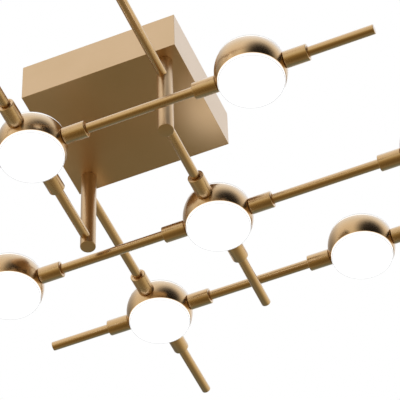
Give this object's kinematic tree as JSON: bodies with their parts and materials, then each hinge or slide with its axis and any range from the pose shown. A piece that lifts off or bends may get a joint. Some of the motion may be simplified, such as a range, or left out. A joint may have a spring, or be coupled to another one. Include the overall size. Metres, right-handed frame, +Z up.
{
  "type": "multi arm chandelier",
  "caption": "Semi-flush ceiling light: rectangular canopy, two stems and crossed round brass arms in two layers with swivelling double-faced disc lamps.",
  "frame": {"origin": "on the ceiling plane, at the middle of the canopy and of its wire hole", "axes": "+X along the lamp rows, +Y along the cross arms, +Z up into the ceiling"},
  "size_m": [1.298, 1.122, 0.2485],
  "materials": {
    "satin_brass": "satin, finely brushed and lacquered",
    "canopy_brass": "satin brass finish on sheet metal",
    "opal": "opal diffuser, lit from inside",
    "zinc_steel": "zinc plated",
    "engine_aluminium": "plain with white circuit boards",
    "white_plastic": "matt",
    "fibre": "dark fibre washer",
    "wire_sleeve": "silicone sleeve"
  },
  "bodies": {
    "fixture": {"ceiling_bracket": "zinc_steel", "canopy": "canopy_brass", "canopy_tabs": "zinc_steel", "canopy_screws": "satin_brass", "led_driver": "white_plastic", "driver_screws": "zinc_steel", "terminal_block": "white_plastic", "canopy_wires": "wire_sleeve", "stem_right": "satin_brass", "stem_left": "satin_brass", "stem_nipples": "zinc_steel", "stem_nuts": "zinc_steel", "stem_washers": "zinc_steel", "stem_plugs": "satin_brass", "cross_arms_low": "satin_brass", "cross_arms_high": "satin_brass", "cross_tails": "satin_brass", "row_links_low": "satin_brass", "row_links_high": "satin_brass", "row_tails": "satin_brass", "arm_plugs": "satin_brass", "cross_collars": "satin_brass", "pivot_collars": "satin_brass", "cross_nipples": "zinc_steel", "pivot_nipples": "zinc_steel", "nipple_nuts": "zinc_steel", "spacer_washers": "fibre", "friction_washers": "fibre", "arm_wires": "wire_sleeve", "cross_housing_1": "satin_brass", "cross_housing_2": "satin_brass", "cross_housing_3": "satin_brass", "cross_housing_4": "satin_brass", "cross_diffusers": "opal", "cross_light_engines": "engine_aluminium"},
    "head_1": {"head_1_housing": "satin_brass", "head_1_diffusers": "opal", "head_1_light_engine": "engine_aluminium", "head_1_tail": "satin_brass"},
    "head_2": {"head_2_housing": "satin_brass", "head_2_diffusers": "opal", "head_2_light_engine": "engine_aluminium", "head_2_tail": "satin_brass"},
    "head_3": {"head_3_housing": "satin_brass", "head_3_diffusers": "opal", "head_3_light_engine": "engine_aluminium", "head_3_tail": "satin_brass"},
    "head_4": {"head_4_housing": "satin_brass", "head_4_diffusers": "opal", "head_4_light_engine": "engine_aluminium", "head_4_tail": "satin_brass"},
    "head_5": {"head_5_housing": "satin_brass", "head_5_diffusers": "opal", "head_5_light_engine": "engine_aluminium", "head_5_tail": "satin_brass"},
    "head_6": {"head_6_housing": "satin_brass", "head_6_diffusers": "opal", "head_6_light_engine": "engine_aluminium", "head_6_tail": "satin_brass"}
  },
  "joints": [
    {"name": "head_1_swivel", "type": "hinge", "parent": "fixture", "child": "head_1", "pos_m": [0.254, -0.121, -0.224], "axis": [1, 0, 0], "range_deg": [-90, 90]},
    {"name": "head_2_swivel", "type": "hinge", "parent": "fixture", "child": "head_2", "pos_m": [-0.456, -0.121, -0.224], "axis": [1, 0, 0], "range_deg": [-90, 90]},
    {"name": "head_3_swivel", "type": "hinge", "parent": "fixture", "child": "head_3", "pos_m": [-0.254, 0.121, -0.224], "axis": [1, 0, 0], "range_deg": [-90, 90]},
    {"name": "head_4_swivel", "type": "hinge", "parent": "fixture", "child": "head_4", "pos_m": [0.456, 0.121, -0.224], "axis": [1, 0, 0], "range_deg": [-90, 90]},
    {"name": "head_5_swivel", "type": "hinge", "parent": "fixture", "child": "head_5", "pos_m": [-0.254, -0.363, -0.115], "axis": [1, 0, 0], "range_deg": [-90, 90]},
    {"name": "head_6_swivel", "type": "hinge", "parent": "fixture", "child": "head_6", "pos_m": [0.254, 0.363, -0.115], "axis": [1, 0, 0], "range_deg": [-90, 90]}
  ]
}
